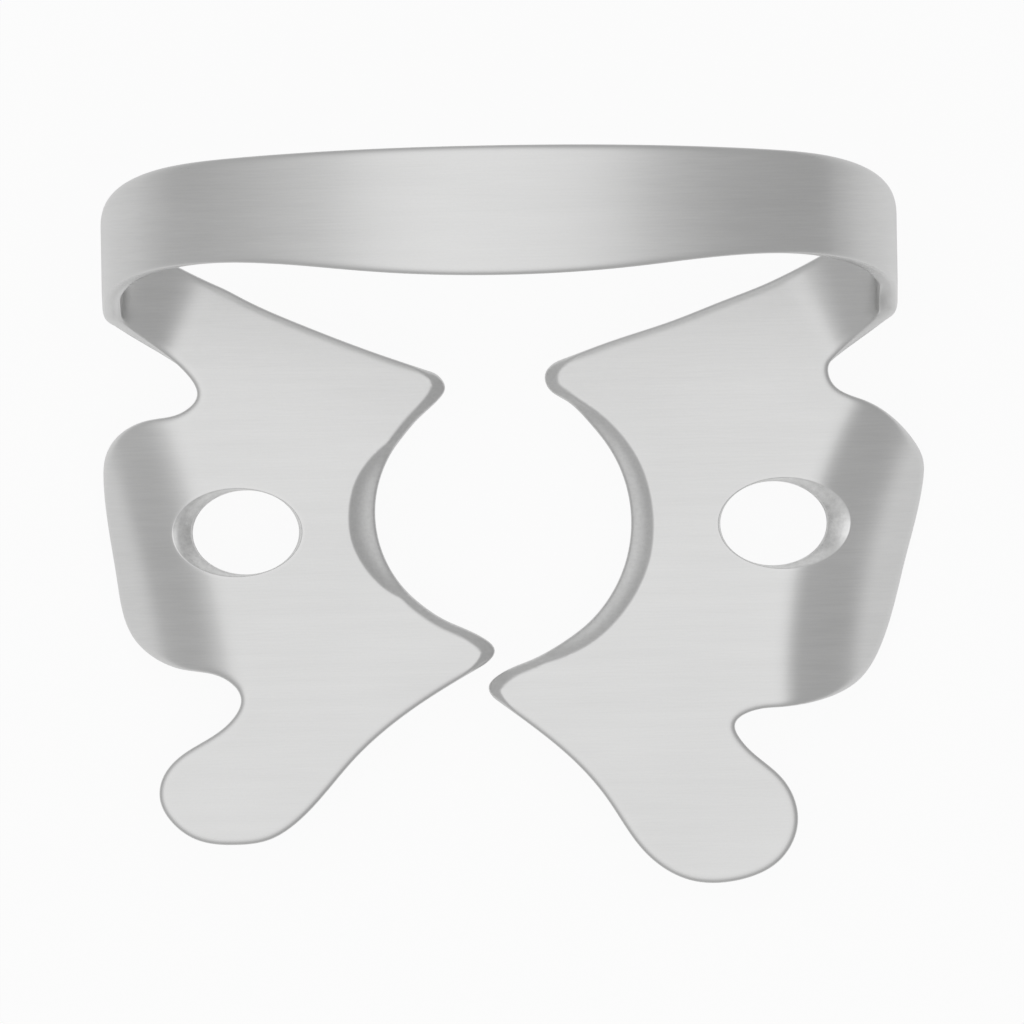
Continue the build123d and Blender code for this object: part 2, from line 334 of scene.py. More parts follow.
class Fold:
    def __init__(self, side):
        front, rear = [edge_place(side, shares) for shares in fold_shares[side]]
        self.start = front
        self.length = np.linalg.norm(rear - front)
        self.along = (rear - front) / self.length
        self.outward = np.array([self.along[1], -self.along[0]])
        self.leads = fold_lead[side]
        self.tight = tight_radius[side]
        self.gentle = gentle_radius[side]
        self.angle = fold_angle[side]
        self.width = self.tight * tight_angle + self.gentle * (self.angle - tight_angle)

    def lead(self, along):
        share = np.clip(along / self.length, 0, 1)
        front, middle, rear = self.leads
        ends = front * (1 - share) * (1 - 2 * share) + rear * share * (2 * share - 1)
        return ends + middle * 4 * share * (1 - share)

    def presence(self, along):
        front = np.clip((along + fold_front_margin) / fold_fade, 0, 1)
        return front * np.clip((self.length + fold_rear_margin - along) / fold_fade, 0, 1)

    def split(self, points):
        away = np.asarray(points) - self.start
        return away @ self.outward, away @ self.along

    def join(self, out, along):
        return self.start + np.outer(out, self.outward) + np.outer(along, self.along)

    def flatten(self, points, heights):
        """Where each point lies on the flat blank, and how deep below its top face."""
        out, along = self.split(points)
        lead = self.lead(along)
        bent = (out + lead > 0) & (self.presence(along) == 1)
        past = (out + lead) * bent
        lift = heights + self.tight
        first = np.clip(np.arctan2(past, lift), 0, tight_angle)
        widening = self.gentle - self.tight
        wide_past = past + widening * sin(tight_angle)
        wide_lift = lift + widening * cos(tight_angle)
        turned = np.clip(np.arctan2(wide_past, wide_lift), tight_angle, self.angle)
        wide = first >= tight_angle
        turned = np.where(wide, turned, first)
        past = np.where(wide, wide_past, past)
        lift = np.where(wide, wide_lift, lift)
        radius = np.where(wide, self.gentle, self.tight)
        margin = past * np.cos(turned) - lift * np.sin(turned)
        depth = past * np.sin(turned) + lift * np.cos(turned) - radius
        run = radius * turned - np.where(wide, widening * tight_angle, 0)
        flat = np.where(bent, run + margin - lead, out)
        return self.join(flat, along), np.where(bent, depth, heights)

    def drop(self, past):
        """How far the top face has sunk at a seen distance past the fold's start."""
        first = np.arcsin(np.clip(past / self.tight, 0, sin(tight_angle)))
        rest = np.maximum(past - self.tight * sin(tight_angle), 0)
        sine = np.clip(rest / self.gentle + sin(tight_angle), sin(tight_angle), sin(self.angle))
        rest = rest - self.gentle * (sine - sin(tight_angle))
        sunk = self.tight * (1 - np.cos(first))
        sunk = sunk + self.gentle * (cos(tight_angle) - np.sqrt(1 - sine**2))
        return sunk + rest * tan(self.angle)

    def flatten_outline(self, points):
        """Where points seen from above lie on the blank, if they are on the top face."""
        out, along = self.split(points)
        past = (out + self.lead(along)) * (self.presence(along) == 1)
        return self.flatten(points, -self.drop(np.maximum(past, 0)))[0]


folds = {side: Fold(side) for side in sides}
print("fold lengths in mm:", {side: round(float(fold.length), 2) for side, fold in folds.items()})

# %% [markdown]
# The outline of one half goes once round the jaw, from the crown of the bow
# down its back edge, round the jaw and up its front edge. A second list says
# what each point's edge is like: the biting edges and the noses of the prongs
# are ground, all the others are only rounded.

# %% Draw the outline of each half
arc_samples = 80


def tip_place(side, shares):
    return np.array(shares) * grip_radius[side] + grip_centre[side]


def grip_place(side, angle):
    return tip_place(side, (cos(radians(angle)), sin(radians(angle))))


def draw_jaw(side):
    start, end = grip_angles[side]
    angles = np.linspace(end, start, arc_samples)
    arc = even_steps(np.array([grip_place(side, angle) for angle in angles]), edge_step)
    rear = [tip_place(side, shares) for shares in rear_tip_shares[side]]
    front = [tip_place(side, shares) for shares in front_tip_shares[side]]
    toe_and_wing = [edge_place(side, shares) for shares in toe_edge_shares[side] + wing_edge_shares[side]]
    heel = [edge_place(side, shares) for shares in heel_edge_shares[side]]
    enter = (sin(radians(end)), -cos(radians(end)))
    leave = (sin(radians(start)), -cos(radians(start)))
    rear_turn = rear[0] - heel[-1]
    front_turn = toe_and_wing[0] - front[-1]
    rear_prong = smooth_curve(rear + [arc[0]], rear_turn, enter)
    front_prong = smooth_curve([arc[-1]] + front, leave, front_turn)
    strip_start, strip_next = strip_front[side][:2]
    front_places = [front[-1]] + toe_and_wing + [strip_start]
    front_edge = smooth_curve(front_places, front_turn, strip_next - strip_start)
    rear_edge = smooth_curve([strip_back[0]] + heel + [rear[0]], strip_back[0] - strip_back[1], rear_turn)
    return rear_edge, rear_prong, arc, front_prong, front_edge


def joined(runs):
    return np.concatenate([runs[0]] + [run[1:] for run in runs[1:]])


def bell(distance):
    return np.exp(-0.5 * distance**2)


# %% Mark what each point's edge is like
nose_spread = 0.55
ground_blend_points = 5


class Outline:
    def __init__(self, side):
        self.side = side
        rear_edge, rear_prong, arc, front_prong, front_edge = draw_jaw(side)
        bite = joined([rear_prong, arc, front_prong])
        finished = joined([rear_edge, bite, front_edge])
        self.points = joined([strip_back[::-1], folds[side].flatten_outline(finished), strip_front[side]])
        ahead = np.gradient(self.points, axis=0)
        ahead /= np.linalg.norm(ahead, axis=1)[:, None]
        self.outward = np.stack([ahead[:, 1], -ahead[:, 0]], axis=1)
        crown_lean = curl_taper * (roll_length - roll_rise - roll_reach)
        self.outward[0] = (crown_lean, 1)
        self.outward[-1] = (-crown_lean, -1)
        ground = np.zeros(len(self.points))
        bite_start = len(strip_back) + len(rear_edge) - 2
        ground[bite_start : bite_start + len(bite)] = 1
        blend_reach = 3 * ground_blend_points
        spread = bell(np.arange(-blend_reach, blend_reach + 1) / ground_blend_points)
        self.ground = np.convolve(ground, spread / spread.sum(), mode="same")
        # The tip of each prong is the second place of its table, counted from its outer end
        noses = [tip_place(side, rear_tip_shares[side][1]), tip_place(side, front_tip_shares[side][-2])]
        distance = np.min([np.linalg.norm(self.points - nose, axis=1) for nose in noses], axis=0)
        self.nose = bell(distance / nose_spread)
        self.tree = KDTree(len(self.points))
        for i, (x, y) in enumerate(self.points):
            self.tree.insert((x, y, 0), i)
        self.tree.balance()

    def inset(self, distance):
        return self.points - self.outward * distance

    def distances(self, points):
        """How far each point is from the outline, and the nearest point of the outline."""
        nearest = np.array([self.tree.find((x, y, 0))[1] for x, y in points])
        best = np.full(len(points), np.inf)
        for step in (-1, 0):
            first = np.clip(nearest + step, 0, len(self.points) - 2)
            start = self.points[first]
            run = self.points[first + 1] - start
            share = np.clip(((points - start) * run).sum(1) / (run**2).sum(1), 0, 1)
            best = np.minimum(best, np.linalg.norm(points - start - run * share[:, None], axis=1))
        return best, nearest


outlines = {side: Outline(side) for side in sides}
print("outline points:", {side: len(outline.points) for side, outline in outlines.items()})

# %% [markdown]
# The forceps hole is an oval that opens to a wider mouth on the outer side, so
# the beaks of the forceps slide in at a slant. Seen from above, both its rims
# are plain ovals, although the sheet round them is folded. So each rim is drawn
# from above, and the fold's rule, run backwards, tells where it lies on the
# flat blank. How high a point of the rim stands isn't known before, so its
# height is found by halving.

# %% Find the hole's two rims on the blank
hole_points = 150
hole_angles = np.linspace(0, 2 * pi, hole_points, endpoint=False)
# No rim lies lower than this
lowest_rim = -6.0
halvings = 40


def hole_rim(side, length, width, shift, depth):
    x = hole_reach[side] + shift + length / 2 * np.cos(hole_angles)
    y = -hole_setback + width / 2 * np.sin(hole_angles)
    low = np.full(len(hole_angles), lowest_rim)
    high = np.full(len(hole_angles), sheet_thickness)
    for _ in range(halvings):
        height = (low + high) / 2
        places, found = folds[side].flatten(np.stack([x, y], axis=1), height)
        low = np.where(found < depth, height, low)
        high = np.where(found < depth, high, height)
    return places


def outward_of_loop(loop):
    ahead = np.roll(loop, -1, axis=0) - np.roll(loop, 1, axis=0)
    ahead /= np.linalg.norm(ahead, axis=1)[:, None]
    return np.stack([ahead[:, 1], -ahead[:, 0]], axis=1)


mouths = {}
throats = {}
for side in sides:
    mouths[side] = hole_rim(side, mouth_length[side], mouth_width[side], mouth_shift[side], 0)
    throats[side] = hole_rim(side, hole_length, hole_width, 0, -sheet_thickness)
print("right mouth on the blank:", np.round(np.ptp(mouths["right"], axis=0), 2), "mm")

# %% [markdown]
# Now the depth of the metal's surface. Every edge is rounded, as tumbling
# leaves it. The biting edges carry a straight ground bevel, and in the middle
# of each a round wheel has taken a deeper hollow. Each of these is a rule of
# the distance from an edge, so the surface can be worked out at any point.

# %% Round every edge and hollow the bite
round_width = 0.3
round_depth = 0.11
crisp_width = 0.05
hollow_wobbles = 9
hollow_wobble_start = 0.8


def rounding(distance, width, depth):
    share = np.clip(1 - distance / width, 0, 1)
    return depth * (1 - np.sqrt(1 - share**2))


def edge_rounding(outline, distance, nearest):
    ground = outline.ground[nearest]
    width = round_width + (crisp_width - round_width) * ground
    depth = round_depth + (crisp_width - round_depth) * ground
    return rounding(distance, width, depth)


def hollow_centre(side):
    deepest = grip_place(side, hollow_angle[side])
    direction = unit(deepest - grip_centre[side])
    return deepest - direction * (hollow_radius[side] - hollow_width[side])


def hollow(side, points):
    away = points - hollow_centre(side)
    angle = np.arctan2(away[:, 1], away[:, 0])
    wobble = hollow_wobble * np.sin(hollow_wobbles * angle + hollow_wobble_start)
    reach = np.linalg.norm(away, axis=1) + wobble
    share = np.clip((hollow_radius[side] - reach) / hollow_width[side], 0, 1)
    depth = hollow_depth * share + hollow_lip * (1 - np.exp(-share / hollow_lip_share))
    return depth * (points[:, 0] < hole_reach[side])


for side in sides:
    bottom = np.array([grip_place(side, hollow_angle[side])])
    print(side, "hollow is", round(float(hollow(side, bottom)[0]), 2), "mm deep at the bite")

# %% Work out how high both faces lie
bevel_width = 0.27
bevel_depth = 0.24
nose_width = 0.17
nose_depth = 0.07
narrowest_band = 0.02
# How softly the ground metal starts, and how softly bevel and hollow meet
band_blend = 0.05
hollow_blend_depth = 0.03
cut_blend_power = 4


def ground_band(outline, nearest):
    return bevel_width * outline.ground[nearest] + nose_width * outline.nose[nearest] + narrowest_band


def upper_face(outline, points, distance, nearest):
    deepest = bevel_depth * outline.ground[nearest] + nose_depth * outline.nose[nearest]
    slope = deepest * np.clip(1 - distance / ground_band(outline, nearest), 0, 1)
    hollowed = hollow(outline.side, points)
    cut_away = (slope**cut_blend_power + hollowed**cut_blend_power) ** (1 / cut_blend_power)
    return -(edge_rounding(outline, distance, nearest) + cut_away)


def lower_face(outline, points, distance, nearest):
    return edge_rounding(outline, distance, nearest) - sheet_thickness


def ground_share(outline, points, distance, nearest):
    in_band = outline.ground[nearest] * (ground_band(outline, nearest) - distance) / band_blend
    in_hollow = hollow(outline.side, points) / hollow_blend_depth
    return np.clip(np.clip(in_band, 0, 1) + np.clip(in_hollow, 0, 1), 0, 1)


print("the ground bevel is at most", round(bevel_depth + nose_depth + crisp_width, 2), "mm deep")

# %% [markdown]
# A flat blank with curved edges is best filled with triangles. A Delaunay
# triangulation takes any set of points, so rows can follow the edges, the
# rolls and the folds, where the shape turns, and stay wide apart on the flat.
# Points of a row that would come too near to another edge are left out.

# %% Rows of points where the sheet bends
# Gaps between points, and how far the rows run past the strip and the fold
strip_gap = 0.4
strip_overrun = 1
roll_rows = 22
bow_rows = 60
fold_row_gap = 0.17
fold_point_gap = 0.36
fold_before = 1.2
fold_after = 0.8
fold_overrun = 1.5


def strip_rows(side):
    rows = []
    edge = strip_front[side]
    for share in np.linspace(0, 1, roll_rows):
        front = roll_edge(front_roll_start[side], front_roll_drift[side], front_early_share, share)
        back = roll_edge(rear_roll_start, rear_roll_drift, rear_early_share, share)
        rows.append(roll_place(share, np.arange(front, back, strip_gap)))
    for reach in np.linspace(0, strip_length, bow_rows + 1)[:-1]:
        x = strip_place(reach, np.array([0.0]))[0, 0]
        front = np.interp(x, edge[:, 0], edge[:, 1])
        back = np.interp(x, strip_back[:, 0], strip_back[:, 1])
        rows.append(strip_place(reach, np.arange(front - strip_overrun, back + strip_overrun, strip_gap)))
    return np.concatenate(rows)


def fold_rows(side):
    fold = folds[side]
    out = np.arange(-fold_before, fold.width + fold_after, fold_row_gap)
    along = np.arange(-fold_overrun, fold.length + fold_overrun, fold_point_gap)
    out, along = np.meshgrid(out, along)
    return fold.join(out.ravel(), along.ravel())


print("points along the right fold:", len(fold_rows("right")))

# %% Rows of points in the hollow and on the flat
hollow_insets = (-0.08, 0, 0.07, 0.15, 0.24, 0.35, 0.47, 0.6)
hollow_half_turn = 1.3
# The grid on the flat: its gap, its corners and how near it comes to the bends
flat_gap = 0.75
flat_low = (-1, -13)
flat_high = (17, 10)
flat_to_roll = 0.2
flat_to_curl = 1
flat_before_fold = 1.5
flat_after_fold = 1.1


def hollow_rows(side):
    angles = np.arange(-hollow_half_turn, hollow_half_turn, edge_step / hollow_radius[side])
    turned = angles + radians(hollow_angle[side])
    around = np.stack([np.cos(turned), np.sin(turned)], axis=1)
    centre = hollow_centre(side)
    return np.concatenate([centre + (hollow_radius[side] - inset) * around for inset in hollow_insets])


def flat_rows(side):
    x = np.arange(flat_low[0], flat_high[0], flat_gap)
    y = np.arange(flat_low[1], flat_high[1], flat_gap)
    x, y = [grid.ravel() for grid in np.meshgrid(x, y)]
    points = np.stack([x + (y % (2 * flat_gap)) / 2, y], axis=1)
    fold = folds[side]
    out, _ = fold.split(points)
    past_roll = points[:, 0] - roll_line(points[:, 1])
    on_jaw = (past_roll < -flat_to_roll) | (points[:, 1] < curl_front_reach - flat_to_curl)
    off_fold = (out < -flat_before_fold) | (out > fold.width + flat_after_fold)
    return points[on_jaw & off_fold]


print("points on the right flat:", len(flat_rows("right")))

# %% Choose the points inside a blank
# How far inside the outline the rows of quads and the rows of triangles run
rim_insets = [0, 0.012, 0.045, 0.1]
row_insets = [0.16, 0.23, 0.31, 0.4, 0.5]
# How far outside the hole the rings of triangles run
ring_gaps = (0.1, 0.2, 0.32, 0.46)
# How near points may come to a row, the hole, the rim, the crown and each other
row_slack = 0.004
lattice_to_row = 0.08
lattice_to_hole = 0.52
free_to_rim = 0.035
free_to_hole = 0.05
free_to_crown = 0.1
smallest_gap = 0.045


def inside(points, loop):
    x, y = points.T
    result = np.zeros(len(points), bool)
    for (x0, y0), (x1, y1) in zip(loop, np.roll(loop, -1, axis=0)):
        if y0 == y1:
            continue
        crossing = ((y0 > y) != (y1 > y)) & (x < (x1 - x0) * (y - y0) / (y1 - y0) + x0)
        result ^= crossing
    return result


def thinned(points, gap):
    kept = []
    cells = {}
    for point in points:
        cell = (int(point[0] // gap), int(point[1] // gap))
        near = [cells.get((cell[0] + i, cell[1] + j)) for i in (-1, 0, 1) for j in (-1, 0, 1)]
        if any(other is not None and np.hypot(*(other - point)) < gap for other in near):
            continue
        cells[cell] = point
        kept.append(point)
    return np.array(kept)


def rows_along_edges(outline, hole):
    rows = []
    for inset in row_insets:
        row = outline.inset(inset)
        distance, _ = outline.distances(row)
        rows.append(row[distance > inset - row_slack])
    hole_out = outward_of_loop(hole)
    return np.concatenate(rows + [hole + hole_out * gap for gap in ring_gaps])


def lattice(outline, hole):
    points = np.concatenate([rows(outline.side) for rows in (fold_rows, flat_rows, strip_rows)])
    distance, _ = outline.distances(points)
    points = points[distance > row_insets[-1] + lattice_to_row]
    # Every third point of the hole's rim is enough to measure the distance
    hole_distance = np.min(np.linalg.norm(points[:, None, :] - hole[None, ::3], axis=2), axis=1)
    return points[hole_distance > lattice_to_hole]


def free_points(outline, hole, rim, first_rows):
    points = np.concatenate([first_rows, rows_along_edges(outline, hole), lattice(outline, hole)])
    distance, _ = outline.distances(points)
    kept = distance > rim_insets[-1] + free_to_rim
    kept &= inside(points, rim)
    kept &= ~inside(points, hole + outward_of_loop(hole) * free_to_hole)
    kept &= points[:, 0] < strip_place(strip_length, points[:, 1])[:, 0] - free_to_crown
    return thinned(points[kept], smallest_gap)


print("rows beside each edge:", len(rim_insets) + len(row_insets))

# %% [markdown]
# One face of the blank is put together like this: the outermost rows are a
# strip of quads round the outline, the rest is triangulated. The upper face,
# the lower face, the rim between them and the wall of the hole share their
# points, so the blank is one closed body.

# %% A blank that collects points, faces and marks
edge_fade = 0.35
strip_least_reach = 9
strip_margin = 0.55
mark_names = ("strip", "edge", "ground", "punched")


class Blank:
    def __init__(self):
        self.places = []
        self.faces = []
        self.marks = {name: [] for name in mark_names}

    def add(self, points, heights, strip=0, edge=0, ground=0, punched=0):
        first = len(self.places)
        count = len(points)
        self.places.extend(zip(points[:, 0], points[:, 1], np.broadcast_to(heights, count)))
        for name, value in zip(mark_names, (strip, edge, ground, punched)):
            self.marks[name].extend(np.broadcast_to(np.asarray(value, float), count))
        return np.arange(first, first + count)

    def loop(self, ids):
        return np.array([self.places[i][:2] for i in ids])

    def sew(self, first, second, closed):
        turns = len(first) if closed else len(first) - 1
        for i in range(turns):
            j = (i + 1) % len(first)
            self.faces.append((int(first[i]), int(first[j]), int(second[j]), int(second[i])))


def on_strip(points):
    return (points[:, 1] > curl_front_reach - strip_margin) & (points[:, 0] > strip_least_reach)


print("marks on each point:", mark_names)

# %% [markdown]
# The rim is a stack of rows round the outline: down the rounded upper edge,
# past the middle of the sheet and round the lower edge. The wall of the hole is
# a stack of rings in the same way. A punch leaves a lip that is rounded, a
# burnished band below it and a torn band further down, and the mark "punched"
# tells the steel how far down a point lies. The steel also paints light from
# it: a painted sheen on the burnished band and painted shade further down.

# %% Build the rim and the wall of the hole
lip_angle = 65
lip_rings = 4
wall_shares = (0.12, 0.3, 0.5, 0.7, 0.88)
wall_curve = 1.35
wall_mark = 0.45
throat_lip = 0.05
# How far out, how high above the lower face, and how torn each last ring is
throat_rings = [(0, throat_lip, 0.6), (0.02, 0.012, 0.3), (0.06, 0, 0)]


def add_rim(blank, outline):
    every = np.arange(len(outline.points))
    columns = []
    for inset in rim_insets[::-1]:
        row = outline.inset(inset)
        given = (outline, row, np.full(len(row), float(inset)), every)
        edge = 1 - inset / edge_fade
        ids = blank.add(row, upper_face(*given), strip=on_strip(row), edge=edge, ground=ground_share(*given))
        columns.append(ids)
    top = np.array([blank.places[i][2] for i in columns[-1]])
    low = lower_face(outline, outline.points, np.zeros(len(every)), every)
    strip = on_strip(outline.points)
    ground = np.clip(outline.ground, 0, 1)
    columns.append(blank.add(outline.points, (top + low) / 2, strip=strip, edge=1, ground=ground))
    for inset in rim_insets:
        row = outline.inset(inset)
        height = lower_face(outline, row, np.full(len(row), float(inset)), every)
        columns.append(blank.add(row, height, strip=on_strip(row), edge=1 - inset / edge_fade))
    for first, second in zip(columns, columns[1:]):
        blank.sew(first, second, closed=False)
    return columns[0], columns[-1]


def add_hole_wall(blank, side):
    mouth = mouths[side]
    throat = throats[side]
    mouth_out = outward_of_loop(mouth)
    throat_out = outward_of_loop(throat)
    rings = []
    for angle in np.linspace(0, lip_angle, lip_rings):
        out = crisp_width * (1 - sin(radians(angle)))
        drop = crisp_width * (1 - cos(radians(angle)))
        rings.append(blank.add(mouth + mouth_out * out, -drop, edge=1, punched=angle / (2 * lip_angle)))
    # The wall starts where the lip's last ring lies
    wall_top = mouth + mouth_out * out
    for share in wall_shares:
        ring = wall_top * (1 - share) + throat * share
        sunk = share**wall_curve
        height = -drop * (1 - sunk) - (sheet_thickness - throat_lip) * sunk
        rings.append(blank.add(ring, height, punched=wall_mark + (1 - wall_mark) * share))
    for out, rise, torn in throat_rings:
        rings.append(blank.add(throat + throat_out * out, rise - sheet_thickness, edge=1, punched=torn))
    for first, second in zip(rings, rings[1:]):
        blank.sew(first, second, closed=True)
    return rings[0], rings[-1]


print("rows in the rim:", 2 * len(rim_insets) + 1)

# %% Fill a face of the blank with triangles
crown_gap = 0.4
smallest_area = 0.00001
same_point = 1e-6


def crown_points(front_y, back_y):
    steps = np.array(row_insets) - rim_insets[-1]
    count = int(round((back_y - front_y) / crown_gap))
    middle = np.linspace(front_y + steps[-1], back_y - steps[-1], count)[1:-1]
    crown_y = np.concatenate([front_y + steps, middle, back_y - steps[::-1]])
    return strip_place(np.full(len(crown_y), strip_length), crown_y)


def triangle_areas(corners):
    first = corners[:, 1] - corners[:, 0]
    second = corners[:, 2] - corners[:, 0]
    return np.abs(first[:, 0] * second[:, 1] - first[:, 1] * second[:, 0]) / 2


def triangulate(blank, border_ids, hole_ids, free_ids):
    ids = np.concatenate([border_ids, hole_ids, free_ids])
    points = [Vector(blank.places[i][:2]) for i in ids]
    border = len(border_ids)
    around = len(hole_ids)
    edges = [(i, (i + 1) % border) for i in range(border)]
    edges += [(border + i, border + (i + 1) % around) for i in range(around)]
    places, _, triangles, sources, _, _ = delaunay_2d_cdt(points, edges, [], 0, same_point, True)
    source = [int(ids[found[0]]) if found else -1 for found in sources]
    corners = np.array(places)[np.array(triangles)][:, :, :2]
    centres = corners.mean(axis=1)
    keep = inside(centres, np.array(points[:border])) & (triangle_areas(corners) > smallest_area)
    keep &= ~inside(centres, np.array(points[border : border + around]))
    for wanted, (a, b, c) in zip(keep, triangles):
        if wanted and min(source[a], source[b], source[c]) >= 0:
            blank.faces.append((source[a], source[b], source[c]))


def fill_face(blank, outline, rim_ids, hole_ids, face_rule, first_rows, is_upper):
    rim = blank.loop(rim_ids)
    free = free_points(outline, blank.loop(hole_ids), rim, first_rows)
    crown = crown_points(rim[-1][1], rim[0][1])
    crown_ids = blank.add(crown, face_rule(outline, crown, *outline.distances(crown)), strip=1)
    distance, nearest = outline.distances(free)
    height = face_rule(outline, free, distance, nearest)
    edge = np.clip(1 - distance / edge_fade, 0, 1)
    ground = ground_share(outline, free, distance, nearest) if is_upper else 0
    free_ids = blank.add(free, height, strip=on_strip(free), edge=edge, ground=ground)
    triangulate(blank, np.concatenate([rim_ids, crown_ids]), hole_ids, free_ids)


print("points across the crown:", len(crown_points(bow_front_reach, bow_back_reach)))

# %% Make both half blanks
sheet_span = 40


def blank_object(blank, side):
    mesh = bpy.data.meshes.new(side + "_blank")
    mesh.from_pydata([Vector(place) * MM for place in blank.places], [], blank.faces)
    for name, values in blank.marks.items():
        mesh.attributes.new(name, "FLOAT", "POINT").data.foreach_set("value", np.array(values, np.float32))
    flat = mesh.uv_layers.new(name="sheet")
    places = np.array(blank.places, np.float32)
    corners = np.zeros(len(mesh.loops), np.int32)
    mesh.loops.foreach_get("vertex_index", corners)
    flat.uv.foreach_set("vector", (places[corners, :2] / sheet_span + 0.5).ravel())
    piece = bpy.data.objects.new(side + "_half", mesh)
    bpy.context.scene.collection.objects.link(piece)
    print(side, "blank:", len(mesh.vertices), "points,", len(mesh.polygons), "faces")
    return piece


def make_blank(side):
    outline = outlines[side]
    blank = Blank()
    upper_rim, lower_rim = add_rim(blank, outline)
    upper_ring, lower_ring = add_hole_wall(blank, side)
    fill_face(blank, outline, upper_rim, upper_ring, upper_face, hollow_rows(side), True)
    fill_face(blank, outline, lower_rim, lower_ring, lower_face, np.zeros((0, 2)), False)
    return blank_object(blank, side)


halves = {side: make_blank(side) for side in sides}

# %% [markdown]
# Bending is a rule, so Geometry Nodes do it. The tree works out where each
# point of the flat blank goes, with one Math node for each sign of the
# formula. A small helper class writes those nodes, so that the formula can be
# read in Python as it would stand on paper.

# %% A helper that writes formulas as Math nodes
class Term:
    def __init__(self, tree, socket):
        self.tree = tree
        self.socket = socket

    def use(self, operation, *others):
        node = self.tree.nodes.new("ShaderNodeMath")
        node.operation = operation
        for slot, value in enumerate((self,) + others):
            if isinstance(value, Term):
                self.tree.links.new(value.socket, node.inputs[slot])
            else:
                node.inputs[slot].default_value = value
        return Term(self.tree, node.outputs[0])

    def __add__(self, other):
        return self.use("ADD", other)

    def __sub__(self, other):
        return self.use("SUBTRACT", other)

    def __mul__(self, other):
        return self.use("MULTIPLY", other)

    def __truediv__(self, other):
        return self.use("DIVIDE", other)

    def at_least(self, low):
        return self.use("MAXIMUM", low)

    def at_most(self, high):
        return self.use("MINIMUM", high)

    def sine(self):
        return self.use("SINE")

    def cosine(self):
        return self.use("COSINE")


print("a formula can use:", [name for name in vars(Term) if not name.startswith("__")])

# %% [markdown]
# The jaw's formula folds the wing. The line of the fold is given by a place and
# the direction that points out from it. A point past the line turns on the
# tight arc first, then on the gentle one, and goes straight on from there. The
# depth of the point below the top face only makes its arc narrower or wider, so
# the sheet keeps its thickness.

# %% The formula of the fold
def folded(given, x, y, depth):
    """Where a point of the jaw goes when the wing is folded down."""
    out = (x - given["Fold X"]) * given["Outward X"] + (y - given["Fold Y"]) * given["Outward Y"]
    along = (y - given["Fold Y"]) * given["Outward X"] - (x - given["Fold X"]) * given["Outward Y"]
    share = (along / given["Fold length"]).at_least(0.0).at_most(1.0)
    rest = share * -1.0 + 1.0
    front = given["Front lead"] * rest * (rest - share)
    rear = given["Rear lead"] * share * (share - rest)
    lead = front + rear + given["Middle lead"] * share * rest * 4.0
    tight = given["Tight radius"]
    gentle = given["Gentle radius"]
    begun = ((along + given["Front margin"]) / given["Fade"]).at_least(0.0).at_most(1.0)
    ended = ((given["Fold length"] + given["Rear margin"] - along) / given["Fade"]).at_least(0.0).at_most(1.0)
    past = (out + lead).at_least(0.0) * begun * ended
    first = (past / tight).at_most(given["Tight angle"])
    rest_past = past - tight * first
    turn = first + (rest_past / gentle).at_most(given["Fold angle"] - given["Tight angle"])
    margin = rest_past - gentle * (turn - first)
    widening = gentle - tight
    reach = (gentle + depth) * turn.sine() - widening * first.sine() + margin * turn.cosine()
    reach = reach + out - past
    height = (gentle + depth) * turn.cosine() - widening * first.cosine() - tight - margin * turn.sine()
    new_x = given["Fold X"] + given["Outward X"] * reach - given["Outward Y"] * along
    new_y = given["Fold Y"] + given["Outward Y"] * reach + given["Outward X"] * along
    return new_x, new_y, height


# %% [markdown]
# The strip's formula works in the same way, with four turns after each other:
# the wide and the tight part of the curl, the side arc and the top arc of the
# bow. Each turn takes its own stretch of the strip, and the straight piece
# between the curl and the side arc only rises.

# %% The formula of the roll
def rolled(given, x, y, depth):
    """Where a point of the strip goes when it is rolled up into the bow."""
    radius = given["Roll radius"] + given["Roll taper"] * y
    wide = radius * given["Curl wide share"]
    tight = radius * given["Curl tight share"]
    knee = given["Curl knee"]
    after_knee = knee * -1.0 + pi / 2
    line = given["Half width"] - given["Sheet thickness"] - tight - (wide - tight) * knee.sine()
    foot = wide - (wide - tight) * knee.cosine()
    past = x - line
    first = (past / wide).at_least(0.0).at_most(knee)
    second = ((past - wide * knee) / tight).at_least(0.0).at_most(after_knee)
    turn = first + second
    past_roll = past - wide * knee - tight * after_knee
    left = given["Side foot"] - foot
    rise = past_roll.at_least(0.0).at_most(left)
    on_side = past_roll - left
    side_radius = given["Side radius"] - given["Sheet thickness"]
    side_turn = (on_side / side_radius).at_least(0.0).at_most(given["Side turn"])
    top_radius = given["Top radius"] - given["Sheet thickness"]
    on_top = (on_side - side_radius * given["Side turn"]) / top_radius
    top_start = given["Side turn"] * -1.0 + pi / 2
    top_left = top_start - on_top.at_least(0.0).at_most(top_start)
    new_x = line + past.at_most(0.0) + (wide - tight) * first.sine() + (tight - depth) * turn.sine()
    new_x = new_x - (side_radius - depth) * (side_turn.cosine() * -1.0 + 1.0)
    new_x = new_x - (top_radius - depth) * (top_start.sine() - top_left.sine())
    height = wide - (wide - tight) * first.cosine() - (tight - depth) * turn.cosine()
    height = height + rise + (side_radius - depth) * side_turn.sine()
    height = height + (top_radius - depth) * (top_left.cosine() - top_start.cosine())
    return new_x, y, height


# %% [markdown]
# The tree puts both formulas side by side. The mark "strip" tells which of them
# a point follows, and "Hand" mirrors the left half. Sizes come in as inputs
# with names, so the same tree serves both halves. Set Position moves the
# points, and the last two nodes make the result a real mesh with its steel on.

